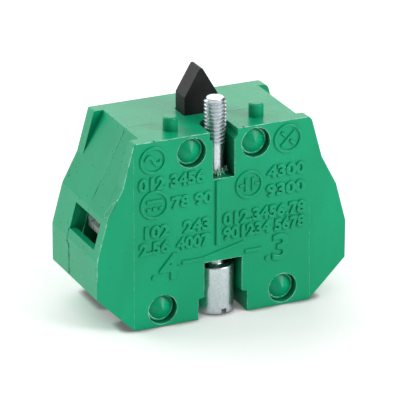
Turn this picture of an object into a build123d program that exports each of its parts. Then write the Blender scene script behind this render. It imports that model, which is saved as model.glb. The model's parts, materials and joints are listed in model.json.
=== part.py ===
"""Contact block of an industrial push button: one normally open, double-break contact.

Frame: X runs across the two wire entries, Y from the marked front face to the back face,
and Z up towards the plunger. The origin is the middle of the bottom of the bounding box.
"""
import os

from build123d import *

# ---- Housing outline -------------------------------------------------------------------
WIDTH = 41.5            # over the widest part, X
DEPTH = 17.68           # front face to back face, Y
HEIGHT = 30.24          # bottom face to top face, Z
FRONT, BACK = -DEPTH / 2, DEPTH / 2
CORNER = 6.1            # 45 degree cut of both lower corners
SIDE_TOP = 12.19        # where the upright sides end
KNEE = (19.03, 18.56)   # half width and height of the bend in the sloping sides
EAR_FOOT = (16.5, 23.4)  # where the ears of the end walls leave the sloping side
EAR_TOP = 14.6          # half width of the end walls at the top
BODY_TOP = 13.0         # half width between the end walls at the top
FRONT_WALL = 2.1
BACK_WALL = 2.28
WALL = 1.0              # side, top and bottom walls
EAR_ROUND_LEFT, EAR_ROUND_RIGHT = 0.3, 1.0
EDGE_ROUND = 0.12
NICKS = (-11.4, 3.3)    # middles of two small vents in the top edge of the front face
NICK_SIZE = (0.22, 0.55, 0.2)

# ---- Parting between the two shells -----------------------------------------------------
PART_HIGH = -1.84       # above the wire entries
PART_LOW = 2.16         # below the wire entries
PART_TAB = 2.8          # locating tab just under each wire entry
TAB_BOTTOM = 11.15
SEAM = 0.07             # gap left along the parting line

# ---- Wire entries and terminals -----------------------------------------------------------
ENTRY_Z = (13.55, 17.65)
ENTRY_Y = (FRONT + FRONT_WALL, 2.66)
TERMINAL_X, TERMINAL_Y = 14.7, -2.04
THREAD_R = 1.70         # crests of M3.5 x 0.6, both kinds of screw
THREAD_HOLE_R = THREAD_R + 0.06
CLAMP_RISE = 1.95       # travel of the clamp plate
ACCESS_X = (12.9, 17.1)  # screwdriver shaft under each terminal screw
ACCESS_HALF_Y = 2.45
ACCESS_TOP = 9.6
HEAD_Z = (10.2, 12.55)
HEAD_R = 2.9
SCREW_TIP = 19.6

# ---- Captive mounting screw and its channel ----------------------------------------------
SCREW_Y = FRONT + 3.25
MOUNT_HEAD_R, MOUNT_HEAD_TOP = 3.0, 7.78
DRIVER_SLOT_TURN = 6    # degrees away from square to the front face
SHANK_R = 1.45
SHANK_HOLE_R = SHANK_R + 0.09
THREAD_START, THREAD_FULL, THREAD_END = 27.1, 30.3, 34.5
RUN_OUT_R = 1.5         # the shallow threads below the full stretch
SLOT_HALF, SLOT_FLOOR = 1.8, 22.6
SLOT_MOUTH_HALF, SLOT_MOUTH_Z = 2.3, 29.2
POCKET_HALF, POCKET_TOP = 3.17, 9.29
POCKET_FOOT_HALF, POCKET_FOOT_Z = 4.12, 3.35
POCKET_BACK = SCREW_Y + MOUNT_HEAD_R + 0.17
COLUMN_HALF = 4.3

# ---- Locating pegs and closing pins ----------------------------------------------------------
PEG_X, PEG_Y, PEG_R, PEG_HEIGHT = 7.1, FRONT + 3.8, 1.15, 2.16
PIN_R, PIN_HOLE_R = 2.2, 2.37
PIN_TIP_R, PIN_TIP = 1.92, 1.0      # cone that leads each pin into its hole
PIN_END = FRONT + 1.05  # where the cone starts, so that its tip stays inside the hole
PINS = [(5.3, 27.5), (10.05, 2.8)]

# ---- Plunger and moving contact ----------------------------------------------------------------
PLUNGER_HALF = 2.75
PLUNGER_Y = (-0.72, 2.80)
PLUNGER_TOP, PLUNGER_SHOULDER = 37.4, 33.1
PLUNGER_TRAVEL = 4.3
TIP_ROUND = 0.4
GUIDE_GAP = 0.14        # plunger to its hole in the top face
AXIS_Y = sum(PLUNGER_Y) / 2
STOP_HALF, STOP_Z = 4.6, (22.5, 25.1)
CARRIER_HALF_X, CARRIER_HALF_Y, CARRIER_BOTTOM = 3.2, 2.6, 14.0
WINDOW_HALF_Y, WINDOW_Z = 1.7, (17.35, 21.3)
STUB_R, STUB_BOTTOM = 1.3, 11.6

BRIDGE_HALF, BRIDGE_WIDTH, BRIDGE_Z = 8.6, 3.0, (17.4, 18.0)
CONTACT_X = 7.2
CONTACT_GAP = 2.4
TIP_HEIGHT = 0.9
BRIDGE_TIP_R, FIXED_TIP_R = 1.2, 1.3
FIXED_TOP = BRIDGE_Z[0] - TIP_HEIGHT - CONTACT_GAP
STRIP = 0.9             # thickness of the fixed contact strips
STRIP_Y = (AXIS_Y - 1.5, AXIS_Y + 1.5)
STRIP_LEG_X = (10.2, 11.1)
NUT_HALF, NUT_HEIGHT = 2.35, 1.35


def block(x, y, z):
    """A box from its low and high X, Y and Z."""
    centre = [(low + high) / 2 for low, high in (x, y, z)]
    return Pos(*centre) * Box(x[1] - x[0], y[1] - y[0], z[1] - z[0])


def rod(x, y, z, radius):
    """An upright cylinder between two heights."""
    return Pos(x, y, (z[0] + z[1]) / 2) * Cylinder(radius, z[1] - z[0])


def cross_rod(x, z, y, radius):
    """A cylinder along Y."""
    return Pos(x, (y[0] + y[1]) / 2, z) * Rot(90, 0, 0) * Cylinder(radius, y[1] - y[0])


def prism(outline, y):
    """An outline of (X, Z) points, extruded along Y."""
    face = Face(Wire.make_polygon([(px, y[0], pz) for px, pz in outline], close=True))
    return extrude(face, amount=y[1] - y[0], dir=(0, 1, 0))


def both_sides(shape):
    """A shape on the right and its mirror image on the left."""
    return shape + mirror(shape, about=Plane.YZ)


def mirrored(half):
    """A closed outline from the points of its right half."""
    return half + [(-px, pz) for px, pz in reversed(half)]


LOWER = [(WIDTH / 2 - CORNER, 0), (WIDTH / 2, CORNER), (WIDTH / 2, SIDE_TOP), KNEE]
END_WALL = mirrored(LOWER + [EAR_FOOT, (EAR_TOP, HEIGHT)])
BODY = mirrored(LOWER + [(BODY_TOP, HEIGHT)])


def end_wall(y, outer_face_last):
    """A front or back wall with its ears, rounded at the top corners and round its outer face."""
    wall = prism(END_WALL, y)
    for side, radius in ((0, EAR_ROUND_LEFT), (-1, EAR_ROUND_RIGHT)):
        corner = wall.edges().filter_by(Axis.Y).group_by(Axis.Z)[-1].sort_by(Axis.X)[side]
        wall = fillet(corner, radius)
    outer = wall.faces().sort_by(Axis.Y)[-1 if outer_face_last else 0]
    return fillet(outer.edges(), EDGE_ROUND)


def body_prism(y):
    return prism(BODY, y)


def cavity(y):
    """The room inside the walls."""
    inner = offset(Face(Wire.make_polygon([(px, y[0], pz) for px, pz in BODY], close=True)),
                   amount=-WALL, kind=Kind.INTERSECTION)
    return extrude(inner, amount=y[1] - y[0], dir=(0, 1, 0))


def entries():
    """Both wire entries, cut through the side walls."""
    return both_sides(block((TERMINAL_X + 1, WIDTH), ENTRY_Y, ENTRY_Z))


def access_shafts():
    """Screwdriver shafts, from the bottom up to the heads of the terminal screws."""
    y = (TERMINAL_Y - ACCESS_HALF_Y, TERMINAL_Y + ACCESS_HALF_Y)
    shaft = block(ACCESS_X, y, (-1, ACCESS_TOP + 1))
    return both_sides(fillet(shaft.edges().filter_by(Axis.Z), 0.6))


def screw_channel():
    """Everything that is cut for the mounting screw: pocket, shank hole and open slot."""
    out = FRONT - 1
    pocket = prism(mirrored([(POCKET_FOOT_HALF, -1), (POCKET_FOOT_HALF, POCKET_FOOT_Z),
                             (POCKET_HALF, POCKET_FOOT_Z + 0.27), (POCKET_HALF, POCKET_TOP)]),
                   (out, POCKET_BACK))
    shank = rod(0, SCREW_Y, (POCKET_TOP - 1, SLOT_FLOOR + 1), SHANK_HOLE_R)
    slot = (block((-SLOT_HALF, SLOT_HALF), (out, SCREW_Y), (SLOT_FLOOR, HEIGHT + 1))
            + rod(0, SCREW_Y, (SLOT_FLOOR, HEIGHT + 1), SLOT_HALF))
    step = SLOT_MOUTH_HALF - SLOT_HALF
    mouth = prism(mirrored([(SLOT_HALF, SLOT_MOUTH_Z - step), (SLOT_MOUTH_HALF, SLOT_MOUTH_Z),
                            (SLOT_MOUTH_HALF, HEIGHT + 1)]), (out, SCREW_Y))
    mouth += rod(0, SCREW_Y, (SLOT_MOUTH_Z, HEIGHT + 1), SLOT_MOUTH_HALF)
    mouth += Pos(0, SCREW_Y, SLOT_MOUTH_Z - step / 2) * Cone(SLOT_HALF, SLOT_MOUTH_HALF, step)
    return pocket + shank + slot + mouth


def pin_holes():
    holes = [cross_rod(px, pz, (FRONT - 1, PART_TAB + 1), PIN_HOLE_R) for px, pz in PINS]
    return both_sides(holes[0] + holes[1])


def nicks():
    """Two small vents in the top edge of the front face."""
    width, depth, height = NICK_SIZE
    first, second = (block((px - width / 2, px + width / 2), (FRONT - 1, FRONT + depth),
                           (HEIGHT - height, HEIGHT + 1)) for px in NICKS)
    return first + second


def front_region():
    """The space that the front shell may fill."""
    wide = (-WIDTH, WIDTH)
    return (block(wide, (FRONT - 1, PART_HIGH), (-1, HEIGHT + 5))
            + block(wide, (FRONT - 1, PART_LOW), (-1, TAB_BOTTOM))
            + block(wide, (FRONT - 1, PART_TAB), (TAB_BOTTOM - 0.01, ENTRY_Z[0])))


def rear_region():
    """The space behind the parting line, one seam gap away from the front shell."""
    wide = (-WIDTH, WIDTH)
    return (block(wide, (PART_TAB + SEAM, BACK + 1), (-1, HEIGHT + 5))
            + block(wide, (PART_LOW + SEAM, BACK + 1), (-1, TAB_BOTTOM - SEAM))
            + block(wide, (PART_HIGH + SEAM, BACK + 1), (ENTRY_Z[0] + SEAM, HEIGHT + 5)))


def front_shell():
    """Marked front wall, front part of the side walls, screw column, shafts and pegs."""
    inside = FRONT + FRONT_WALL
    rim = body_prism((inside, PART_TAB)) - cavity((inside, PART_TAB))
    column = (block((-COLUMN_HALF, COLUMN_HALF), (inside, PART_HIGH), (0, HEIGHT))
              + block((-POCKET_FOOT_HALF - 1, POCKET_FOOT_HALF + 1), (inside, PART_HIGH),
                      (0, POCKET_FOOT_Z + 1.2)))
    shaft_y = (inside, TERMINAL_Y + ACCESS_HALF_Y + 0.8)
    shaft = block((ACCESS_X[0] - 0.9, ACCESS_X[1] + 0.9), shaft_y, (0, ACCESS_TOP))
    ledge = block((CONTACT_X - 1.5, STRIP_LEG_X[1] + 0.4), (inside, PART_LOW),
                  (FIXED_TOP - TIP_HEIGHT - STRIP - 1.6, FIXED_TOP - TIP_HEIGHT - STRIP - 0.02))
    barrier = block((10.3, 11.4), (inside, STRIP_Y[0] - 0.1), (0, ENTRY_Z[1] - 0.05))
    fittings = both_sides(shaft + ledge + barrier) & body_prism((inside, PART_TAB))
    shell = (rim + column + fittings) & front_region()
    shell = shell + end_wall((FRONT, inside), False)
    peg = rod(PEG_X, PEG_Y, (HEIGHT - 0.5, HEIGHT + PEG_HEIGHT), PEG_R)
    peg = fillet(peg.edges().group_by(Axis.Z)[-1], 0.35)
    shell = shell + both_sides(peg) - entries() - access_shafts() - pin_holes() - screw_channel()
    return shell - nicks()


def closing_pins():
    """Four pins of the rear shell, with conical tips that show in the front wall."""
    pins = []
    for px, pz in PINS:
        pin = cross_rod(px, pz, (PIN_END, BACK - 1), PIN_R)
        tip = Pos(px, PIN_END - PIN_TIP / 2, pz) * Rot(90, 0, 0) * Cone(PIN_TIP_R, 0.12, PIN_TIP)
        pins.append(both_sides(pin + tip))
    return pins[0] + pins[1]


def rear_shell():
    """Back wall, rear part of the side walls, plunger hole, guides and closing pins."""
    inside = BACK - BACK_WALL
    rim = body_prism((PART_HIGH, inside)) - cavity((PART_HIGH, inside))
    guide = block((CARRIER_HALF_X + 0.15, CARRIER_HALF_X + 1.3), (STRIP_Y[1] + 0.5, inside),
                  (1, STOP_Z[0]))
    partition = block((STRIP_LEG_X[1] + 0.3, WIDTH / 2), (PART_TAB + SEAM, PART_TAB + 1), (1, 22))
    divider = block((STRIP_LEG_X[1] + 0.3, STRIP_LEG_X[1] + 1.3), (PART_TAB + SEAM, inside), (1, 26))
    hold_down = block((STRIP_LEG_X[0] - 1.3, STRIP_LEG_X[1] + 0.2), (-1.6, inside),
                      (ENTRY_Z[1] + STRIP + 0.02, ENTRY_Z[1] + STRIP + 1.5))
    fittings = both_sides(guide + partition + divider + hold_down) & body_prism((PART_HIGH, inside))
    spring_seat = block((-CARRIER_HALF_X, CARRIER_HALF_X), (PART_LOW + SEAM, inside), (0.5, 2.0))
    shell = (rim + fittings + spring_seat) & rear_region()
    shell = shell + end_wall((inside, BACK), True)
    hole_y = (PLUNGER_Y[0] - GUIDE_GAP, PLUNGER_Y[1] + GUIDE_GAP)
    hole_half = PLUNGER_HALF + GUIDE_GAP
    hole = block((-hole_half, hole_half), hole_y, (HEIGHT - 5, HEIGHT + 1))
    sinks = [cross_rod(px, pz, (BACK - 0.4, BACK + 1), 1.7) for px, pz in PINS]
    return shell + closing_pins() - entries() - hole - both_sides(sinks[0] + sinks[1])


def plunger():
    """Wedge-topped blade, stop shoulders and the carrier with the window for the bridge."""
    y = PLUNGER_Y
    apex_rise = TIP_ROUND * 0.97    # what the rounding takes off the sharp apex
    blade = prism([(-PLUNGER_HALF, STOP_Z[0]), (PLUNGER_HALF, STOP_Z[0]),
                   (PLUNGER_HALF, PLUNGER_SHOULDER), (0, PLUNGER_TOP + apex_rise),
                   (-PLUNGER_HALF, PLUNGER_SHOULDER)], y)
    blade = fillet(blade.edges().filter_by(Axis.Y).group_by(Axis.Z)[-1], TIP_ROUND)
    blade = fillet(blade.edges().filter_by(Axis.Y).group_by(Axis.Z)[-2], 0.2)
    rims = [face.edges() for face in blade.faces().filter_by(Axis.Y)]
    blade = fillet([edge for rim in rims for edge in rim if edge.center().Z > STOP_Z[0] + 0.1], 0.16)
    stops = block((-STOP_HALF, STOP_HALF), y, STOP_Z)
    carrier_y = (AXIS_Y - CARRIER_HALF_Y, AXIS_Y + CARRIER_HALF_Y)
    carrier = block((-CARRIER_HALF_X, CARRIER_HALF_X), carrier_y, (CARRIER_BOTTOM, STOP_Z[0] + 0.4))
    window = block((-CARRIER_HALF_X - 1, CARRIER_HALF_X + 1),
                   (AXIS_Y - WINDOW_HALF_Y, AXIS_Y + WINDOW_HALF_Y), WINDOW_Z)
    stub = rod(0, AXIS_Y, (STUB_BOTTOM, CARRIER_BOTTOM + 0.5), STUB_R)
    return blade + stops + carrier - window + stub


def coil_spring(y, z, radius, wire, turns):
    """A round-wire compression spring standing on z[0], with its wire inside both heights."""
    helix = Helix(pitch=(z[1] - z[0] - wire) / turns, height=z[1] - z[0] - wire, radius=radius)
    section = Plane(origin=helix @ 0, z_dir=helix % 0) * Circle(wire / 2)
    return Pos(0, y, z[0] + wire / 2) * sweep(section, path=helix, is_frenet=True)


def contact_bridge():
    """Spring-brass strip across both contacts, with a boss that centres the contact spring."""
    half_y = BRIDGE_WIDTH / 2
    strip = block((-BRIDGE_HALF, BRIDGE_HALF), (AXIS_Y - half_y, AXIS_Y + half_y), BRIDGE_Z)
    strip = fillet(strip.edges().filter_by(Axis.Z), 0.9)
    return strip + rod(0, AXIS_Y, (BRIDGE_Z[0] + 0.2, BRIDGE_Z[1] + 0.4), 0.65)


def bridge_tip():
    tip = rod(CONTACT_X, AXIS_Y, (BRIDGE_Z[0] - TIP_HEIGHT, BRIDGE_Z[0]), BRIDGE_TIP_R)
    return fillet(tip.edges().group_by(Axis.Z)[0], 0.3)


def fixed_tip():
    tip = rod(CONTACT_X, AXIS_Y, (FIXED_TOP - TIP_HEIGHT, FIXED_TOP), FIXED_TIP_R)
    return fillet(tip.edges().group_by(Axis.Z)[-1], 0.3)


def fixed_contact():
    """Bent strip from the clamped terminal tab, down and inwards to its contact tip."""
    foot_z = FIXED_TOP - TIP_HEIGHT
    tab = block((STRIP_LEG_X[0], 17.5), (TERMINAL_Y - 2.9, STRIP_Y[1]),
                (ENTRY_Z[1], ENTRY_Z[1] + STRIP))
    leg = block(STRIP_LEG_X, STRIP_Y, (foot_z - STRIP, ENTRY_Z[1] + STRIP))
    foot = block((CONTACT_X - 1.5, STRIP_LEG_X[1]), STRIP_Y, (foot_z - STRIP, foot_z))
    strip = tab + leg + foot
    bends = [edge for edge in strip.edges().filter_by(Axis.Y)
             if abs(edge.center().X - STRIP_LEG_X[1]) < 0.01 and edge.center().Z < foot_z]
    strip = fillet(bends, 0.6)
    return strip - rod(TERMINAL_X, TERMINAL_Y, (ENTRY_Z[1] - 1, ENTRY_Z[1] + 3), THREAD_R + 0.25)


def terminal_nut():
    """Square nut lying on the terminal tab."""
    z = (ENTRY_Z[1] + STRIP, ENTRY_Z[1] + STRIP + NUT_HEIGHT)
    nut = block((TERMINAL_X - NUT_HALF, TERMINAL_X + NUT_HALF),
                (TERMINAL_Y - NUT_HALF, TERMINAL_Y + NUT_HALF), z)
    nut = chamfer(nut.edges().filter_by(Axis.Z), 0.3)
    return nut - rod(TERMINAL_X, TERMINAL_Y, (z[0] - 1, z[1] + 1), THREAD_HOLE_R)


def clamp_plate():
    """Saddle plate that presses the wires against the tab, with turned-up ends and teeth."""
    low, half_x, half_y = 13.7, 2.8, 4.15
    x = (TERMINAL_X - half_x, TERMINAL_X + half_x)
    plate = block(x, (TERMINAL_Y - half_y, TERMINAL_Y + half_y), (low, low + 1.0))
    for side in (-1, 1):
        end = TERMINAL_Y + side * (half_y - 0.3)
        plate += block(x, (end - 0.3, end + 0.3), (low, ENTRY_Z[1] - CLAMP_RISE - 0.08))
        for k in (-1, 0, 1):
            tooth = cross_rod(TERMINAL_X + 1.7 * k, low + 0.98,
                              (end - side * 0.3 - 0.7 + side * -0.9, end - side * 0.3 + 0.7 - side * 0.9),
                              0.28)
            plate += tooth
    return plate - rod(TERMINAL_X, TERMINAL_Y, (low - 1, low + 4), THREAD_R + 0.15)


def lock_washer():
    """Split spring washer between the screw head and the clamp plate."""
    z = (HEAD_Z[1] + 0.04, 13.68)
    ring = rod(TERMINAL_X, TERMINAL_Y, z, 2.75) - rod(TERMINAL_X, TERMINAL_Y, (z[0] - 1, z[1] + 1), 1.85)
    split = Pos(TERMINAL_X + 2.3, TERMINAL_Y, (z[0] + z[1]) / 2) * Rot(25, 0, 0) * Box(2.4, 0.35, 3)
    return ring - split


def terminal_screw():
    """Slotted screw, head down, driven from below."""
    x, y = TERMINAL_X, TERMINAL_Y
    head = rod(x, y, HEAD_Z, HEAD_R)
    head = fillet(head.edges().group_by(Axis.Z)[0], 0.5)
    shank = rod(x, y, (HEAD_Z[1] - 0.2, SCREW_TIP), THREAD_R)
    shank = chamfer(shank.edges().group_by(Axis.Z)[-1], 0.5)
    slot = block((x - 4, x + 4), (y - 0.5, y + 0.5), (HEAD_Z[0] - 1, HEAD_Z[0] + 1.3))
    return head + shank - slot


def mounting_screw():
    """Captive screw: tall slotted head, thin shank and a threaded end above the top face."""
    head = rod(0, SCREW_Y, (0, MOUNT_HEAD_TOP), MOUNT_HEAD_R)
    head = chamfer(head.edges().group_by(Axis.Z)[-1], 0.22)
    head = fillet(head.edges().group_by(Axis.Z)[0], 0.25)
    slot = block((-0.45, 0.45), (SCREW_Y - 4, SCREW_Y + 4), (-1, 0.95))
    slot = slot.rotate(Axis((0, SCREW_Y, 0), (0, 0, 1)), DRIVER_SLOT_TURN)
    shank = rod(0, SCREW_Y, (MOUNT_HEAD_TOP - 0.2, THREAD_START + 0.2), SHANK_R)
    run_out = rod(0, SCREW_Y, (THREAD_START, THREAD_FULL), RUN_OUT_R)
    run_out = chamfer(run_out.edges().group_by(Axis.Z)[0], 0.35)
    thread = rod(0, SCREW_Y, (THREAD_FULL, THREAD_END), THREAD_R)
    thread = chamfer(thread.edges().group_by(Axis.Z)[-1], 0.4)
    return head - slot + shank + run_out + thread


RIGHT_HAND = {
    "bridge_tip": bridge_tip,
    "fixed_tip": fixed_tip,
    "fixed_contact": fixed_contact,
    "terminal_nut": terminal_nut,
    "clamp_plate": clamp_plate,
    "lock_washer": lock_washer,
    "terminal_screw": terminal_screw,
}

nodes = {
    "front_shell": front_shell(),
    "rear_shell": rear_shell(),
    "plunger": plunger(),
    "return_spring": coil_spring(AXIS_Y, (2.05, CARRIER_BOTTOM - 0.05), 1.95, 0.42, 8),
    "contact_spring": coil_spring(AXIS_Y, (BRIDGE_Z[1] + 0.03, WINDOW_Z[1] - 0.05), 1.15, 0.28, 5),
    "contact_bridge": contact_bridge(),
    "mounting_screw": mounting_screw(),
}
for name, make in RIGHT_HAND.items():
    right = make()
    nodes[name + "_right"] = right
    nodes[name + "_left"] = mirror(right, about=Plane.YZ)

os.makedirs("parts", exist_ok=True)
for name, shape in nodes.items():
    export_step(shape, f"parts/{name}.step")
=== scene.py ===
"""Looks of the contact block: camera, light, materials, raised marks, threads, springs and burrs."""
import json
import math
import random

import bmesh
import bpy
from mathutils import Matrix, Vector


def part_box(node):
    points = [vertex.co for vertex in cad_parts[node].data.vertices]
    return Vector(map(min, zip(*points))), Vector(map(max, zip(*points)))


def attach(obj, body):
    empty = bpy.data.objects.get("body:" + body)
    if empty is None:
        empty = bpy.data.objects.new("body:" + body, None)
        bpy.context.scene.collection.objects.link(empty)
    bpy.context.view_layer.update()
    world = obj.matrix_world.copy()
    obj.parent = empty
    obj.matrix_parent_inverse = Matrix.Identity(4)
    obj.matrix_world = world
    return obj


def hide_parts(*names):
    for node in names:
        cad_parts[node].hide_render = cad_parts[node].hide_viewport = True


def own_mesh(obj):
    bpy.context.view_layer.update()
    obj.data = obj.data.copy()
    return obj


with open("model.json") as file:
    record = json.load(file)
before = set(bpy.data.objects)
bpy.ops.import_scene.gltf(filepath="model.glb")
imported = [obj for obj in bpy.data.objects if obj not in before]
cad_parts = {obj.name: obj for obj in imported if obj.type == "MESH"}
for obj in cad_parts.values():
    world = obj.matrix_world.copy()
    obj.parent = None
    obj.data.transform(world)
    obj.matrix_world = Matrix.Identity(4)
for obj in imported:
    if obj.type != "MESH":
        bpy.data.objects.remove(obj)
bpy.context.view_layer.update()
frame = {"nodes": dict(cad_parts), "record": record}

MM = 0.001

# ---- Places read from the frame ------------------------------------------------------------
FRONT = Vector(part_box("front_shell")[0]).y
TOP = Vector(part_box("rear_shell")[1]).z
SCREW_LOW, SCREW_HIGH = (Vector(corner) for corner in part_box("mounting_screw"))
SCREW_AXIS = (SCREW_LOW + SCREW_HIGH) / 2

# ---- Sizes taken from the solids ---------------------------------------------------------------
PITCH = 0.6 * MM
THREAD_R = 1.70 * MM
THREAD_START = 27.1 * MM
SHANK_R = 1.45 * MM
HEAD_TOP = 7.78 * MM
DRIVER_SLOT_TURN = 6    # degrees away from square to the front face
SHRED_FOOT = 22.62 * MM       # just above the floor of the slot
SHRED_RING_R = 1.58 * MM      # just outside the edge of the shank hole

# half widths, heights and depths behind the front face, in millimetres
SLOT_HALF, SLOT_LOW, SLOT_HIGH = 1.8, 22.7, 28.6
POCKET_HALF, POCKET_LOW, POCKET_HIGH = 3.17, 3.7, 9.3
FOOT_HALF, FOOT_LOW, FOOT_HIGH = 4.12, 0.2, 3.3
PINS = [(5.3, 27.5), (-5.3, 27.5), (10.05, 2.8), (-10.05, 2.8)]
PIN_EDGE, HOLE_EDGE = 1.98, 2.39
PARTING = 7.03    # depth of the line between the shells, above the wire entries


# ---- Small mesh helpers --------------------------------------------------------------------
def add_object(name, mesh, material, body):
    """Links a mesh as a piece that rides on a body."""
    piece = bpy.data.objects.new(name, mesh)
    bpy.context.scene.collection.objects.link(piece)
    piece.data.materials.append(material)
    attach(piece, body)
    return piece


def mesh_from(name, verts, faces, smooth=True):
    """A mesh whose faces are all smooth or all flat."""
    mesh = bpy.data.meshes.new(name)
    mesh.from_pydata(verts, [], faces)
    mesh.validate()
    mesh.update()
    for polygon in mesh.polygons:
        polygon.use_smooth = smooth
    return mesh


def ring_faces(rings, count):
    """Quads between neighbouring closed rings of count vertices each."""
    faces = []
    for ring in range(rings - 1):
        for i in range(count):
            a, b = ring * count + i, ring * count + (i + 1) % count
            faces.append((a, b, b + count, a + count))
    return faces


def around(centre, radius, angle, z):
    """A point at a radius and an angle about an upright axis."""
    return Vector((centre.x + radius * math.cos(angle), centre.y + radius * math.sin(angle), z))


def tube(path, radii, sides):
    """Vertices and faces of a closed tube along a path."""
    verts = []
    up = Vector((0, 0, 1))
    for i, point in enumerate(path):
        ahead = path[min(i + 1, len(path) - 1)] - path[max(i - 1, 0)]
        ahead.normalize()
        across = ahead.cross(up)
        if across.length < 1e-3:
            across = ahead.cross(Vector((1, 0, 0)))
        across.normalize()
        over = across.cross(ahead)
        for k in range(sides):
            angle = 2 * math.pi * k / sides
            verts.append(point + radii[i] * (math.cos(angle) * across + math.sin(angle) * over))
    faces = ring_faces(len(path), sides)
    faces.append(tuple(range(sides)))
    faces.append(tuple(reversed(range(len(verts) - sides, len(verts)))))
    return verts, faces


def smooth_by_angle(obj, degrees):
    """Marks edges sharper than the angle, and shades the rest smooth."""
    mesh = obj.data
    bm = bmesh.new()
    bm.from_mesh(mesh)
    limit = math.radians(degrees)
    for edge in bm.edges:
        edge.smooth = len(edge.link_faces) != 2 or edge.calc_face_angle(0) < limit
    for face in bm.faces:
        face.smooth = True
    bm.to_mesh(mesh)
    bm.free()


# ---- Materials -------------------------------------------------------------------------------
class Nodes:
    """A short way to write a node tree."""

    def __init__(self, name):
        self.material = bpy.data.materials.new(name)
        self.material.use_nodes = True
        self.tree = self.material.node_tree
        self.tree.nodes.clear()
        self.output = self.add("ShaderNodeOutputMaterial")
        self.shader = self.add("ShaderNodeBsdfPrincipled")
        self.link(self.shader.outputs["BSDF"], self.output.inputs["Surface"])
        self.place = self.add("ShaderNodeTexCoord").outputs["Object"]

    def add(self, kind, **settings):
        """Adds a node and sets its own settings."""
        node = self.tree.nodes.new(kind)
        for key, value in settings.items():
            setattr(node, key, value)
        return node

    def link(self, start, end):
        """Joins an output socket to an input socket."""
        self.tree.links.new(start, end)

    def noise(self, size, detail=3.0, roughness=0.55, stretch=None, distortion=0.0):
        """Noise whose features are about size metres across."""
        node = self.add("ShaderNodeTexNoise")
        node.inputs["Scale"].default_value = 1 / size
        node.inputs["Detail"].default_value = detail
        node.inputs["Roughness"].default_value = roughness
        node.inputs["Distortion"].default_value = distortion
        source = self.place
        if stretch:
            mapping = self.add("ShaderNodeMapping")
            mapping.inputs["Scale"].default_value = stretch
            self.link(source, mapping.inputs["Vector"])
            source = mapping.outputs["Vector"]
        self.link(source, node.inputs["Vector"])
        return node.outputs["Fac"]

    def range(self, value, low, high, to_low=0.0, to_high=1.0):
        """Maps low..high to to_low..to_high, clamped."""
        node = self.add("ShaderNodeMapRange")
        limits = {"From Min": low, "From Max": high, "To Min": to_low, "To Max": to_high}
        for key, number in limits.items():
            node.inputs[key].default_value = number
        self.link(value, node.inputs["Value"])
        return node.outputs["Result"]

    def math(self, operation, first, second):
        """A math node on two sockets or numbers."""
        node = self.add("ShaderNodeMath", operation=operation)
        for socket, value in zip(node.inputs, (first, second)):
            if isinstance(value, (int, float)):
                socket.default_value = value
            else:
                self.link(value, socket)
        return node.outputs["Value"]

    def mix(self, factor, first, second):
        """The first colour where factor is 0, and the second where it is 1."""
        node = self.add("ShaderNodeMix", data_type="RGBA")
        self.link(factor, node.inputs["Factor"])
        for socket, value in ((node.inputs[6], first), (node.inputs[7], second)):
            if isinstance(value, tuple):
                socket.default_value = (*value, 1.0)
            else:
                self.link(value, socket)
        return node.outputs[2]

    def edges(self, radius, low=0.02, high=0.22):
        """1 along sharp edges, over about a radius, and 0 on flat faces."""
        bevel = self.add("ShaderNodeBevel", samples=6)
        bevel.inputs["Radius"].default_value = radius
        geometry = self.add("ShaderNodeNewGeometry")
        dot = self.add("ShaderNodeVectorMath", operation="DOT_PRODUCT")
        self.link(bevel.outputs["Normal"], dot.inputs[0])
        self.link(geometry.outputs["Normal"], dot.inputs[1])
        return self.range(self.math("SUBTRACT", 1.0, dot.outputs["Value"]), low, high)

    def crevices(self, reach, only_local=True):
        """1 in the open, towards 0 in deep recesses, of the piece itself or of everything near it."""
        node = self.add("ShaderNodeAmbientOcclusion", samples=8, only_local=only_local)
        node.inputs["Distance"].default_value = reach
        return node.outputs["AO"]

    def bump(self, heights):
        """Chains bumps: (height socket, strength, distance in metres)."""
        normal = None
        for height, strength, distance in heights:
            node = self.add("ShaderNodeBump")
            node.inputs["Strength"].default_value = strength
            node.inputs["Distance"].default_value = distance
            self.link(height, node.inputs["Height"])
            if normal is not None:
                self.link(normal, node.inputs["Normal"])
            normal = node.outputs["Normal"]
        self.link(normal, self.shader.inputs["Normal"])

    def set(self, **values):
        """Sets or links the shader's inputs, with _ for each space in a name."""
        for key, value in values.items():
            socket = self.shader.inputs[key.replace("_", " ")]
            if isinstance(value, (int, float, tuple)):
                socket.default_value = (*value, 1.0) if isinstance(value, tuple) else value
            else:
                self.link(value, socket)


GREEN_GLOSS, BLACK_GLOSS = 0.2, 0.16


def green_plastic(name, base, deep, pale, recess_shade, edge_pale=0.6):
    """Moulded plastic: faint flow marks, satin grain, edges paled partly by wear and partly as a painted
    highlight, a few scuffs, and painted shade in recesses.
    """
    n = Nodes(name)
    flow = n.noise(9 * MM, detail=2, stretch=(1, 1, 0.5), distortion=0.6)
    colour = n.mix(n.range(flow, 0.35, 0.65), base, deep)
    # edges paled partly as wear and partly as a painted highlight along every sharp edge
    worn = n.math("MULTIPLY", n.edges(0.12 * MM), n.range(n.noise(0.7 * MM, detail=5), 0.38, 0.62))
    colour = n.mix(n.math("MULTIPLY", worn, edge_pale), colour, pale)
    scuff = n.range(n.noise(1.6 * MM, detail=8, roughness=0.72, stretch=(1, 1, 0.35)), 0.66, 0.74)
    colour = n.mix(n.math("MULTIPLY", scuff, 0.25), colour, pale)
    # painted shade: the colour darkens towards its shade colour in deep recesses and creases, where little
    # light reaches
    colour = n.mix(n.range(n.crevices(8 * MM), 0.22, 0.64), recess_shade, colour)
    rough = n.range(n.noise(0.9 * MM, detail=4), 0.3, 0.7, 0.26, 0.37)
    n.set(Base_Color=colour, Roughness=rough, IOR=1.5, Specular_IOR_Level=GREEN_GLOSS)
    n.bump([(n.noise(0.16 * MM, detail=4), 0.10, 0.03 * MM),
            (n.noise(4 * MM, detail=2), 0.12, 0.12 * MM)])
    return n.material


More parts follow.
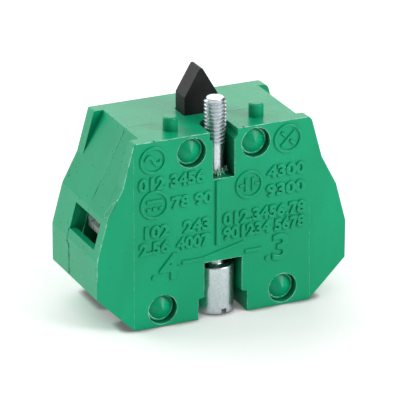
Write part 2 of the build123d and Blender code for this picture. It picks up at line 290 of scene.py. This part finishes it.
def black_plastic(name):
    """Dark moulded plastic with a fine grain and paler worn edges."""
    n = Nodes(name)
    cloud = n.range(n.noise(2 * MM, detail=3), 0.35, 0.65)
    colour = n.mix(cloud, (0.010, 0.010, 0.011), (0.016, 0.016, 0.017))
    worn = n.math("MULTIPLY", n.edges(0.15 * MM), n.range(n.noise(0.5 * MM), 0.4, 0.65))
    colour = n.mix(n.math("MULTIPLY", worn, 0.4), colour, (0.10, 0.10, 0.10))
    rough = n.range(n.noise(0.5 * MM, detail=4), 0.3, 0.7, 0.40, 0.50)
    n.set(Base_Color=colour, Roughness=rough, IOR=1.5, Specular_IOR_Level=BLACK_GLOSS)
    n.bump([(n.noise(0.12 * MM, detail=4), 0.22, 0.03 * MM)])
    return n.material


def plated_steel(name, base, dark, rough, metal=1.0):
    """Bright zinc plating with drawn lines and small pits."""
    n = Nodes(name)
    drawn = n.noise(0.25 * MM, detail=5, stretch=(1, 1, 0.12))
    spots = n.noise(0.35 * MM, detail=6, roughness=0.65)
    colour = n.mix(n.range(spots, 0.42, 0.70), base, dark)
    n.set(Base_Color=colour, Metallic=metal, Roughness=n.range(drawn, 0.3, 0.7, *rough))
    n.bump([(drawn, 0.15, 0.010 * MM), (spots, 0.10, 0.015 * MM)])
    return n.material


def plain_metal(name, base, dark, rough):
    """Bare metal with tarnish spots and fine drawn lines."""
    n = Nodes(name)
    colour = n.mix(n.range(n.noise(0.6 * MM, detail=5), 0.4, 0.65), base, dark)
    n.set(Base_Color=colour, Metallic=1.0,
          Roughness=n.range(n.noise(0.3 * MM, detail=4), 0.3, 0.7, rough, rough + 0.15))
    n.bump([(n.noise(0.15 * MM, detail=4, stretch=(1, 0.2, 1)), 0.2, 0.015 * MM)])
    return n.material


# the last colour of each plastic is the painted shade that fills its recesses
GREEN = green_plastic("green_plastic", (0.001, 0.335, 0.155), (0.001, 0.300, 0.135), (0.14, 0.55, 0.38),
                      (0.0, 0.04, 0.02))
# pale flash: partly the flash's own pale colour and partly a painted highlight along edges and pin rims
BURR_AND_HIGHLIGHT = green_plastic("green_burr_and_highlight", (0.30, 0.66, 0.50), (0.16, 0.56, 0.38), (0.60, 0.86, 0.75),
                     (0.12, 0.45, 0.30))
FRAYED = green_plastic("green_frayed", (0.45, 0.78, 0.62), (0.25, 0.62, 0.45), (0.75, 0.92, 0.85),
                       (0.2, 0.5, 0.35))
BLACK = black_plastic("black_plastic")
# painted shade: a near-black copy of the green plastic, laid as a strip along the open parting where it
# lies in shadow
GAP_SHADE = green_plastic("green_shadow", (0.0, 0.03, 0.015), (0.0, 0.02, 0.01), (0.01, 0.06, 0.04),
                      (0.0, 0.01, 0.005), 0.2)
ZINC = plated_steel("zinc_plated_steel", (0.62, 0.67, 0.70), (0.50, 0.55, 0.58), (0.24, 0.36))
# painted highlight: a paler, partly diffuse copy of the zinc plating, for the clamp plates and washers
ZINC_HIGHLIT = plated_steel("zinc_steel_highlit", (0.94, 0.98, 1.0), (0.74, 0.78, 0.81), (0.22, 0.42), 0.65)
SPRING = plain_metal("spring_steel", (0.55, 0.56, 0.57), (0.36, 0.37, 0.38), 0.25)
BRASS = plain_metal("contact_brass", (0.80, 0.58, 0.30), (0.62, 0.42, 0.20), 0.25)
SILVER = plain_metal("contact_silver", (0.84, 0.83, 0.80), (0.66, 0.65, 0.62), 0.3)

SLOT_MATERIAL = {"green_plastic": GREEN, "black_plastic": BLACK, "zinc_steel": ZINC,
                 "spring_steel": SPRING, "contact_brass": BRASS, "contact_silver": SILVER}


def dress_cad_nodes():
    """Gives each CAD node the material of its slot; clamp plates and washers get a paler, less metallic
    copy of the zinc plating as a painted highlight.
    """
    for part in frame["record"]["subparts"]:
        node = frame["nodes"][part["node"]]
        node.data.materials.clear()
        highlit = part["node"].startswith(("clamp_plate", "lock_washer"))
        node.data.materials.append(ZINC_HIGHLIT if highlit else SLOT_MATERIAL[part["material_slot"]])


# ---- Screws -----------------------------------------------------------------------------------
def revolve(name, profile, centre, segments=96):
    """A closed solid of revolution from (radius, z) points; both ends lie on the axis."""
    verts = [Vector((centre.x, centre.y, profile[0][1]))]
    for radius, z in profile[1:-1]:
        for i in range(segments):
            angle = 2 * math.pi * i / segments
            verts.append(around(centre, radius, angle, z))
    verts.append(Vector((centre.x, centre.y, profile[-1][1])))
    rings = len(profile) - 2
    faces = [tuple(v + 1 for v in face) for face in ring_faces(rings, segments)]
    top = len(verts) - 1
    for i in range(segments):
        j = (i + 1) % segments
        faces.append((0, 1 + j, 1 + i))
        faces.append((top, 1 + (rings - 1) * segments + i, 1 + (rings - 1) * segments + j))
    return mesh_from(name, verts, faces)


def thread_mesh(centre, start, end, major, run_out=0.35 * MM, tip=0.4 * MM, segments=64):
    """Vertices and faces of a helical 60 degree thread, chamfered at its tip, run out at its start."""
    depth = 0.6134 * PITCH
    # (share of the pitch, share of the depth) over one turn: crest, flank, root, flank
    profile = [(0.00, 0.0), (0.06, 0.0), (0.44, 1.0), (0.56, 1.0), (0.94, 0.0)]
    turns = int((end - start) / PITCH) + 2
    verts, rows = [], []
    for turn in range(turns):
        rows += [(turn + along, dip) for along, dip in profile]
    for along, dip in rows:
        for i in range(segments):
            angle = 2 * math.pi * i / segments
            z = start + PITCH * (along - 1 + i / segments)
            z = min(max(z, start), end)
            limit = min(major - run_out + (z - start), major - tip + (end - z), major)
            radius = min(major - depth * dip, max(limit, major - depth * 1.15))
            if z >= end:
                radius = min(radius, major - tip)
            verts.append(around(centre, radius, angle, z))
    faces = []
    count = len(rows)
    for row in range(count - 1):
        for i in range(segments):
            a = row * segments + i
            b = a + 1
            if i == segments - 1:
                # the helix climbs a pitch a turn: the last column meets the first one a turn higher
                if row + 1 + len(profile) >= count:
                    continue
                b = (row + len(profile)) * segments
            faces.append((a, b, b + segments, a + segments))
    return verts, faces


def build_thread(name, centre, start, end, body):
    """A zinc-plated M3.5 thread between two heights."""
    verts, faces = thread_mesh(centre, start, end, THREAD_R)
    mesh = mesh_from(name, verts, faces)
    bm = bmesh.new()
    bm.from_mesh(mesh)
    bmesh.ops.remove_doubles(bm, verts=bm.verts, dist=0.002 * MM)
    bmesh.ops.dissolve_degenerate(bm, edges=bm.edges, dist=0.001 * MM)
    loops = [edge for edge in bm.edges if edge.is_boundary]
    bmesh.ops.holes_fill(bm, edges=loops, sides=0)
    bmesh.ops.recalc_face_normals(bm, faces=bm.faces)
    bm.to_mesh(mesh)
    bm.free()
    piece = add_object(name, mesh, ZINC, body)
    smooth_by_angle(piece, 24)
    return piece


def arc(centre, radius, first, last, steps=5):
    """Points of an arc in a (radius, z) profile, angles in degrees."""
    points = []
    for i in range(steps + 1):
        angle = math.radians(first + (last - first) * i / steps)
        points.append((centre[0] + radius * math.cos(angle), centre[1] + radius * math.sin(angle)))
    return points


def cut_slot(piece, centre, size, turn=0):
    """Cuts a driver slot with a box turned about its upright axis, and applies the cut."""
    bm = bmesh.new()
    bmesh.ops.create_cube(bm, size=1.0)
    bmesh.ops.scale(bm, vec=Vector(size), verts=bm.verts)
    bmesh.ops.rotate(bm, matrix=Matrix.Rotation(math.radians(turn), 3, "Z"), verts=bm.verts)
    bmesh.ops.translate(bm, vec=centre, verts=bm.verts)
    mesh = bpy.data.meshes.new("slot_cutter")
    bm.to_mesh(mesh)
    bm.free()
    cutter = bpy.data.objects.new("slot_cutter", mesh)
    bpy.context.scene.collection.objects.link(cutter)
    modifier = piece.modifiers.new("slot", "BOOLEAN")
    modifier.object = cutter
    modifier.solver = "EXACT"
    bpy.context.view_layer.update()
    graph = bpy.context.evaluated_depsgraph_get()
    cut = bpy.data.meshes.new_from_object(piece.evaluated_get(graph))
    piece.modifiers.clear()
    piece.data = cut
    bpy.data.objects.remove(cutter)
    smooth_by_angle(piece, 30)


def mounting_screw():
    """Tall slotted head, thin shank and a real thread."""
    radius = (SCREW_HIGH.x - SCREW_LOW.x) / 2
    low_round, top_round = 0.25 * MM, 0.2 * MM
    slot_width, slot_depth = 0.9 * MM, 0.95 * MM
    profile = [(0, 0), (radius - 0.4 * MM, 0)]
    profile += arc((radius - low_round, low_round), low_round, -80, 0, 6)
    profile += [(radius, HEAD_TOP - 0.3 * MM)]
    profile += arc((radius - top_round, HEAD_TOP - top_round), top_round, 0, 90, 4)
    profile += [(SHANK_R + 0.2 * MM, HEAD_TOP)]
    profile += [(SHANK_R + 0.06 * MM, HEAD_TOP + 0.05 * MM), (SHANK_R, HEAD_TOP + 0.18 * MM)]
    profile += [(SHANK_R, THREAD_START + 0.3 * MM), (0, THREAD_START + 0.3 * MM)]
    body = "mounting_screw"
    head = add_object(body + "_head", revolve(body + "_head", profile, SCREW_AXIS), ZINC, body)
    smooth_by_angle(head, 30)
    slot_centre = Vector((SCREW_AXIS.x, SCREW_AXIS.y, 0))
    cut_slot(head, slot_centre, (slot_width, 4 * radius, 2 * slot_depth), DRIVER_SLOT_TURN)
    thread = build_thread(body + "_thread", SCREW_AXIS, THREAD_START, SCREW_HIGH.z, body)
    for piece in (head, thread):
        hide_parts(body)


def terminal_screws():
    """Pan-headed terminal screws with real threads, one under each wire entry."""
    rounding, neck = 0.5 * MM, 1.28 * MM
    slot_width, slot_depth = 1.0 * MM, 1.3 * MM
    for side in ("left", "right"):
        node = "terminal_screw_" + side
        low, high = (Vector(corner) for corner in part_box(node))
        centre = (low + high) / 2
        radius, head_top = (high.x - low.x) / 2, low.z + 2.35 * MM
        profile = [(0, low.z), (radius - 0.8 * MM, low.z)]
        profile += arc((radius - rounding, low.z + rounding), rounding, -80, 0, 5)
        profile += [(radius, head_top - 0.1 * MM), (radius - 0.1 * MM, head_top), (neck, head_top)]
        profile += [(neck, head_top + 0.6 * MM), (0, head_top + 0.6 * MM)]
        head = add_object(node + "_head", revolve(node, profile, centre), ZINC, node)
        slot_centre = Vector((centre.x, centre.y, low.z))
        cut_slot(head, slot_centre, (4 * radius, slot_width, 2 * slot_depth))
        thread = build_thread(node + "_thread", centre, head_top + 0.1 * MM, high.z, node)
        for piece in (head, thread):
            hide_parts(node)


# ---- Springs ----------------------------------------------------------------------------------
def spring(name, body, turns, wire, closed=1.0):
    """A round-wire spring with closed, flattened ends, as tall as its CAD node."""
    low, high = (Vector(corner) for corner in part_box(name))
    centre = (low + high) / 2
    radius = (high.x - low.x) / 2 - wire / 2
    steps, sides = int((turns + 2 * closed) * 36), 10
    height = high.z - low.z - wire
    path = []
    for i in range(steps + 1):
        turn = (turns + 2 * closed) * i / steps
        rise = min(max(turn - closed, 0), turns) / turns
        lift = wire * 0.5 * (min(turn, closed) / closed + max(turn - closed - turns, 0) / closed)
        z = low.z + wire / 2 + lift + rise * (height - wire)
        angle = 2 * math.pi * turn
        path.append(around(centre, radius, angle, z))
    verts, faces = tube(path, [wire / 2] * len(path), sides)
    return add_object("coil_" + name, mesh_from(name + "_coil", verts, faces), SPRING, body)


def springs():
    """The return spring under the plunger, and the contact spring that stands on the bridge."""
    coil = spring("return_spring", "housing", 6, 0.42 * MM)
    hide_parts("return_spring")
    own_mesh(coil)
    coil = spring("contact_spring", "bridge", 4, 0.28 * MM, 0.6)
    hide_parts("contact_spring")
    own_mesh(coil)


# ---- Raised marks on the front face -----------------------------------------------------------
MARK_HEIGHT = 0.27 * MM
MARK_FLANK = 0.12 * MM


def settle_marks(name, mesh):
    """Puts a mark's mesh, drawn in its own XY plane, on the front face."""
    turn = Matrix.Rotation(math.radians(90), 4, "X")
    mesh.transform(Matrix.Translation((0, FRONT, 0)) @ turn)
    piece = add_object(name, mesh, GREEN, "housing")
    return piece


def numerals(name, text, left, right, low, high, weight=0.035):
    """Raised numerals that fill a box on the front face, all in millimetres."""
    curve = bpy.data.curves.new(name, "FONT")
    curve.body = text
    curve.size = 1.0
    curve.fill_mode = "BOTH"
    curve.resolution_u = 6
    holder = bpy.data.objects.new(name + "_text", curve)
    bpy.context.scene.collection.objects.link(holder)
    bpy.context.view_layer.update()
    xs = [corner[0] for corner in holder.bound_box]
    ys = [corner[1] for corner in holder.bound_box]
    scale_x = (right - left) * MM / (max(xs) - min(xs))
    scale_y = (high - low) * MM / (max(ys) - min(ys))
    curve.bevel_depth = MARK_FLANK / scale_y
    curve.bevel_resolution = 1
    curve.extrude = (MARK_HEIGHT - MARK_FLANK) / scale_y
    curve.offset = weight * MM / scale_y
    bpy.context.view_layer.update()
    graph = bpy.context.evaluated_depsgraph_get()
    mesh = bpy.data.meshes.new_from_object(holder.evaluated_get(graph))
    bpy.data.objects.remove(holder)
    to_corner = Matrix.Translation((-min(xs), -min(ys), 0))
    fit = Matrix.Diagonal((scale_x, scale_y, scale_y, 1)) @ to_corner
    mesh.transform(Matrix.Translation((left * MM, low * MM, 0)) @ fit)
    return settle_marks(name, mesh)


def stroke(points, width):
    """The outline, in millimetres, of a stroke of even width through several points."""
    points = [Vector(p) for p in points]
    left, right = [], []
    for i, point in enumerate(points):
        ahead = points[min(i + 1, len(points) - 1)] - points[max(i - 1, 0)]
        ahead.normalize()
        across = Vector((-ahead.y, ahead.x)) * width / 2
        left.append(point + across)
        right.append(point - across)
    return list(reversed(left)) + right


def raised(name, outlines, height=MARK_HEIGHT):
    """A raised mark with sloped flanks, from closed outlines in millimetres."""
    # (inset in millimetres, share of the height) from the foot of the flank to its crest
    layers = [(0.0, -0.1), (0.02, 0.35), (0.07, 0.8), (0.13, 1.0)]
    bm = bmesh.new()
    for outline in outlines:
        count = len(outline)
        corners = []
        for i in range(count):
            before = (outline[i] - outline[i - 1]).normalized()
            after = (outline[(i + 1) % count] - outline[i]).normalized()
            inward = Vector((-before.y - after.y, before.x + after.x)).normalized()
            lean = max(0.5, inward.dot(Vector((-after.y, after.x))))
            corners.append(inward / lean)
        rings = []
        for inset, lift in layers:
            rings.append([bm.verts.new(((p.x + c.x * inset) * MM, (p.y + c.y * inset) * MM, lift * height))
                          for p, c in zip(outline, corners)])
        for lower, upper in zip(rings, rings[1:]):
            for i in range(count):
                j = (i + 1) % count
                bm.faces.new((lower[i], lower[j], upper[j], upper[i]))
        bm.faces.new(rings[-1])
        bm.faces.new(list(reversed(rings[0])))
    bmesh.ops.recalc_face_normals(bm, faces=bm.faces)
    mesh = bpy.data.meshes.new(name)
    bm.to_mesh(mesh)
    bm.free()
    return settle_marks(name, mesh)


def ring_mark(name, x, z, radius, width=0.55, segments=72):
    """A raised ring with a flat crest and sloped flanks."""
    verts, faces = [], []
    # (share of the width, share of the height) round the ring's section
    section = [(-0.5, -0.1), (-0.46, 0.35), (-0.36, 0.8), (-0.22, 1.0),
               (0.22, 1.0), (0.36, 0.8), (0.46, 0.35), (0.5, -0.1)]
    count = len(section)
    for i in range(segments):
        angle = 2 * math.pi * i / segments
        for across, lift in section:
            r = radius - width / 2 + across * width
            verts.append(Vector(((x + r * math.cos(angle)) * MM, (z + r * math.sin(angle)) * MM,
                                 lift * MARK_HEIGHT)))
    for i in range(segments):
        here, there = i * count, (i + 1) % segments * count
        for k in range(count):
            after = (k + 1) % count
            faces.append((here + k, here + after, there + after, there + k))
    return settle_marks(name, mesh_from(name, verts, faces, False))


def wave(x, z, length, height, steps=28):
    """Points of one sine wave about a middle."""
    return [(x + length * (i / steps - 0.5), z + height / 2 * math.sin(2 * math.pi * i / steps))
            for i in range(steps + 1)]


def marks():
    """Terminal numbers, contact symbol, divider, symbols in rings and rows of numerals."""
    thin, thick = 0.5, 0.6
    x, z = -11.6, 27.3
    ring_mark("ring_alternating", x, z, 2.25)
    raised("symbol_alternating", [stroke(wave(x, z, 2.6, 1.4), thick)])
    x, z = -11.4, 20.15
    ring_mark("ring_direct", x, z, 2.4)
    line = stroke([(x - 1.35, z + 0.55), (x + 1.35, z + 0.55)], thick)
    dashes = [stroke([(x + shift - 0.35, z - 0.65), (x + shift + 0.35, z - 0.65)], thick)
              for shift in (-1, 0, 1)]
    raised("symbol_direct", [line] + dashes)
    x, z = 4.25, 20.9
    ring_mark("ring_contact", x, z, 2.35)
    leads = [[(x - 1.7, z), (x - 0.75, z)], [(x + 0.75, z), (x + 1.7, z)]]
    plates = [[(x + shift, z - 1.1), (x + shift, z + 1.1)] for shift in (-0.55, 0.55)]
    raised("symbol_contact", [stroke(ends, thin) for ends in leads + plates])
    x, z, reach, gap = 10.65, 27.35, 1.15, 0.3
    ring_mark("ring_load", x, z, 2.4)
    raised("symbol_load", [stroke([(x - reach, z - reach), (x + reach, z + reach)], thin),
                           stroke([(x - reach, z + reach), (x - gap, z + gap)], thin),
                           stroke([(x + gap, z - gap), (x + reach, z - reach)], thin)])
    # text, left, right, low and high edge in millimetres
    rows = [("012 3456", -13.9, -3.3, 22.6, 24.5), ("78 90", -8.5, -2.0, 19.1, 20.85),
            ("102", -12.9, -9.1, 14.85, 16.65), ("243", -6.6, -2.4, 14.85, 16.65),
            ("2.56", -13.8, -9.1, 12.25, 14.05), ("4007", -7.7, -2.5, 12.25, 14.05),
            ("4300", 7.3, 13.5, 21.4, 23.2), ("9300", 7.2, 13.5, 18.4, 20.2),
            ("012.3456.78", 0.0, 13.6, 14.95, 16.8), ("901234 5678", 0.0, 13.6, 12.6, 14.4)]
    for index, (text, left, right, low, high) in enumerate(rows):
        numerals(f"numerals_row_{index + 1}", text, left, right, low, high)
    raised("divider", [stroke([(-1.0, 11.9), (-1.0, 22.5)], 0.75)], 1.5 * MARK_HEIGHT)
    numerals("terminal_number_left", "4", -10.47, -7.58, 7.73, 11.69, 0.06)
    numerals("terminal_number_right", "3", 8.36, 10.77, 7.78, 11.85, 0.06)
    for side, x, z in (("left", -11.54, 8.28), ("right", 7.33, 8.29)):
        dot = [Vector((x + 0.42 * math.cos(a), z + 0.42 * math.sin(a)))
               for a in (2 * math.pi * i / 20 for i in range(20))]
        raised("terminal_dot_" + side, [dot])
    raised("contact_lines", [stroke([(-6.94, 10.01), (-3.6, 10.01)], 0.68),
                             stroke([(-3.75, 10.04), (3.3, 11.66)], 0.55),
                             stroke([(3.53, 10.02), (6.35, 10.02)], 0.68)])


# ---- Burrs, flash and torn strands -----------------------------------------------------------
def rough_line(name, points, radius, seed, step=0.12 * MM, closed=False, material=BURR_AND_HIGHLIGHT):
    """A thin uneven ridge of flash along points (x, depth behind the front, z) in millimetres."""
    rng = random.Random(seed)
    radius *= MM
    points = [Vector((x * MM, FRONT + depth * MM, z * MM)) for x, depth, z in points]
    if closed:
        points.append(points[0])
    path, radii = [], []
    swell = 0.0
    for start, end in zip(points, points[1:]):
        count = max(2, int((end - start).length / step))
        for i in range(count):
            swell = 0.75 * swell + rng.uniform(-0.5, 0.5)
            wander = Vector([rng.uniform(-0.25, 0.25) * radius for _ in range(3)])
            path.append(start.lerp(end, i / count) + wander)
            radii.append(radius * min(1.6, max(0.25, 0.8 + swell)))
    path.append(points[-1])
    radii.append(radius * 0.5)
    verts, faces = tube(path, radii, 6)
    piece = add_object(name, mesh_from(name, verts, faces), material, "housing")
    return piece


def circle(x, z, radius, depth, steps=72):
    """Points of a circle on the front face, at a depth behind it."""
    angles = (2 * math.pi * i / steps for i in range(steps))
    return [(x + radius * math.cos(a), depth, z + radius * math.sin(a)) for a in angles]


def burrs():
    """Flash round the pins and along sharp edges, pale partly as a painted highlight, a chipped corner,
    and the open parting as a dark strip of painted shade.
    """
    for index, (x, z) in enumerate(PINS):
        hole, pin = circle(x, z, HOLE_EDGE, 0.01), circle(x, z, PIN_EDGE, 1.05)
        rough_line(f"flash_hole_{index + 1}", hole, 0.04, 10 + index, closed=True)
        rough_line(f"flash_pin_{index + 1}", pin, 0.06, 15 + index, closed=True)
    top = TOP / MM - 0.01
    chipped_edge = [(-17.26, 0.05, 22.0), (-17.55, 0.3, 21.4), (-18.2, 0.35, 20.2),
                    (-18.75, 0.4, 19.1), (-19.0, 0.1, 18.6)]
    chip_upper = [(-17.26, 0.07, 21.98), (-17.7, 0.7, 21.13), (-17.95, 1.14, 20.65),
                  (-18.3, 1.3, 19.95), (-18.59, 1.75, 19.4), (-18.8, 1.7, 19.0)]
    chip_lower = [(-18.59, 1.75, 19.4), (-18.91, 1.38, 18.79), (-18.8, 0.8, 19.0), (-18.69, 0.38, 19.22)]
    lines = [("top_left", [(-14.3, 0.02, top), (-2.35, 0.02, top)], 0.075),
             ("top_right", [(2.35, 0.02, top), (13.9, 0.02, top)], 0.06),
             ("edge_left", [(-14.75, 0.01, 29.9), (-16.5, 0.01, 23.4), (-17.4, 0.01, 21.7)], 0.06),
             ("edge_chipped", chipped_edge, 0.05),
             ("chip_upper", chip_upper, 0.10),
             ("chip_lower", chip_lower, 0.075),
             ("edge_left_low", [(-19.1, 0.01, 18.4), (-20.72, 0.01, 12.4), (-20.72, 0.01, 9.2)], 0.05),
             ("witness_left", [(-14.75, 0.0, 28.0), (-14.75, 0.0, 8.4), (-14.75, 0.0, 0.3)], 0.02),
             ("witness_right", [(14.43, 0.0, 16.6), (14.56, 0.0, 8.3), (14.73, 0.0, 0.5)], 0.02),
             ("slot_floor", [(-1.7, 0.01, 22.6), (1.7, 0.01, 22.6)], 0.06),
             ("parting_left", [(-13.25, PARTING, 29.85), (-17.0, PARTING, 22.5)], 0.06)]
    upright_edges = [("slot", SLOT_HALF, SLOT_HIGH, SLOT_LOW, 0.045),
                     ("pocket", POCKET_HALF, POCKET_HIGH, POCKET_LOW, 0.045),
                     ("foot", FOOT_HALF, FOOT_HIGH, FOOT_LOW, 0.04)]
    for side, side_name in ((-1, "left"), (1, "right")):
        for name, half, high, low, radius in upright_edges:
            ends = [(side * half, 0.01, high), (side * half, 0.01, low)]
            lines.append((f"{name}_{side_name}", ends, radius))
    lines.append(("pocket_top", [(-3.1, 0.01, 9.29), (3.1, 0.01, 9.29)], 0.045))
    for index, (name, points, radius) in enumerate(lines):
        rough_line("flash_" + name, points, radius, 20 + index)
    side = -20.75
    gap = [(-20.40, 11.66, 13.5), (side, 11.66, 12.19), (side, 11.66, 11.15), (side, 11.02, 11.12),
           (side, 11.02, 6.2)]
    # painted shade: a dark strip along the open parting gap
    rough_line("parting_gap_left", gap, 0.08, 60, material=GAP_SHADE)
    closed = [(-17.0, PARTING, 22.5), (-19.0, PARTING, 18.56), (-20.28, PARTING, 13.75)]
    rough_line("parting_closed_left", closed, 0.05, 61, material=GREEN)


def torn_piece(name, path, radii, material):
    """A shred of the case's plastic along a path."""
    verts, faces = tube(path, radii, 6)
    piece = add_object(name, mesh_from(name, verts, faces), material, "housing")


def strands():
    """Shreds that the thread tore from the shank hole when the screw was pushed in."""
    rng = random.Random(7)
    lip, lip_points = [], 60
    for i in range(lip_points):
        reach = SHRED_RING_R + rng.uniform(0.0, 0.12) * MM
        height = SHRED_FOOT + rng.uniform(0.0, 0.12) * MM
        lip.append(around(SCREW_AXIS, reach, 2 * math.pi * i / lip_points, height))
    torn_piece("torn_lip", lip + lip[:1], [0.13 * MM] * (lip_points + 1), GREEN)
    # lengths and thickness in millimetres, and the rest as shares of the length
    shreds = [("strand", 22, FRAYED, (0.8, 1.9), 0.35, 0.60, 1.10, 0.45, 0.11),
              ("flap", 12, BURR_AND_HIGHLIGHT, (0.5, 1.1), 1.00, 0.45, 0.75, 0.65, 0.20)]
    steps, sunk = 8, 0.05 * MM
    for kind, count, material, lengths, reach, sway, rise, sag, thickness in shreds:
        for index in range(count):
            angle = rng.uniform(-2.0, 0.3)
            out = Vector((math.cos(angle), math.sin(angle), 0))
            side = Vector((-out.y, out.x, 0)) * rng.uniform(-1, 1)
            root = Vector((SCREW_AXIS.x, SCREW_AXIS.y, SHRED_FOOT)) + out * SHRED_RING_R
            length = rng.uniform(*lengths) * MM
            path, radii = [], []
            for i in range(steps + 1):
                t = i / steps
                lift = Vector((0, 0, length * (rise * t - sag * t * t) - sunk))
                path.append(root + out * length * reach * t + side * length * sway * t * t + lift)
                radii.append(thickness * MM * (1 - 0.7 * t))
            torn_piece(f"torn_{kind}_{index + 1}", path, radii, material)


# ---- Camera, floor and light -----------------------------------------------------------------
def camera():
    """A long lens from the front left, a little above the block."""
    azimuth, elevation, roll = math.radians(24.67), math.radians(22.326), math.radians(0.186)
    target, distance = Vector((0, -0.54, 15.56)) * MM, 531.5 * MM
    back = Vector((-math.sin(azimuth) * math.cos(elevation), -math.cos(azimuth) * math.cos(elevation),
                   math.sin(elevation)))
    data = bpy.data.cameras.new("camera")
    data.lens, data.sensor_width = 312.5, 36
    data.shift_x, data.shift_y = -0.00136, 0.00552
    data.clip_start, data.clip_end = 0.01, 20
    eye = bpy.data.objects.new("camera", data)
    bpy.context.scene.collection.objects.link(eye)
    turn = back.to_track_quat("Z", "Y").to_matrix().to_4x4() @ Matrix.Rotation(roll, 4, "Z")
    eye.matrix_world = Matrix.Translation(target + back * distance) @ turn
    bpy.context.scene.camera = eye


def softbox(name, place, target, size, power):
    """A rectangular area light aimed at the target."""
    data = bpy.data.lights.new(name, "AREA")
    data.shape = "RECTANGLE"
    data.size, data.size_y = size
    data.energy = power
    lamp = bpy.data.objects.new(name, data)
    bpy.context.scene.collection.objects.link(lamp)
    aim = (place - target).to_track_quat("Z", "Y").to_matrix().to_4x4()
    lamp.matrix_world = Matrix.Translation(place) @ aim


def pale_floor(reach=2.0):
    """A white sheet, faintly lit from within, with a painted contact shadow where the block touches it."""
    n = Nodes("pale_floor")
    paper = n.mix(n.range(n.noise(40 * MM, detail=2), 0.3, 0.7), (0.95, 0.95, 0.95), (0.97, 0.97, 0.97))
    # painted contact shadow: the floor darkens to near black where the block is close
    contact = n.range(n.crevices(1.8 * MM, False), 0.46, 0.90)
    n.set(Base_Color=n.mix(contact, (0.06, 0.06, 0.06), paper), Roughness=0.7, Specular_IOR_Level=0.2,
          Emission_Color=(1.0, 1.0, 1.0), Emission_Strength=0.12)
    corners = [Vector((x * reach, y * reach, 0)) for x, y in ((-1, -1), (1, -1), (1, 1), (-1, 1))]
    floor = bpy.data.objects.new("floor", mesh_from("floor", corners, [(0, 1, 2, 3)], False))
    floor.data.materials.append(n.material)
    bpy.context.scene.collection.objects.link(floor)


def studio():
    """A key from the front right, and soft lights behind, on the left and above."""
    world = bpy.data.worlds.new("studio")
    world.use_nodes = True
    background = world.node_tree.nodes["Background"]
    background.inputs["Color"].default_value = (1, 1, 1, 1)
    background.inputs["Strength"].default_value = 0.15
    bpy.context.scene.world = world
    pale_floor()
    middle = Vector((0, 0, 15 * MM))
    # name, direction from the middle, distance and size in metres, power in watts
    lamps = [("softbox_key", (0.561, -0.695, 0.451), 0.6, (0.28, 0.28), 2.3),
             ("softbox_back", (0.15, 0.90, 0.40), 0.65, (1.0, 0.45), 2.9),
             ("softbox_left", (-0.73, 0.56, 0.40), 0.6, (0.40, 0.35), 1.9),
             ("softbox_top", (0.02, -0.05, 1.0), 0.6, (1.0, 1.0), 2.7)]
    for name, toward, distance, size, power in lamps:
        softbox(name, middle + distance * Vector(toward).normalized(), middle, size, power)
    bpy.context.scene.view_settings.view_transform = "Standard"


dress_cad_nodes()
mounting_screw()
terminal_screws()
springs()
marks()
burrs()
strands()
camera()
studio()
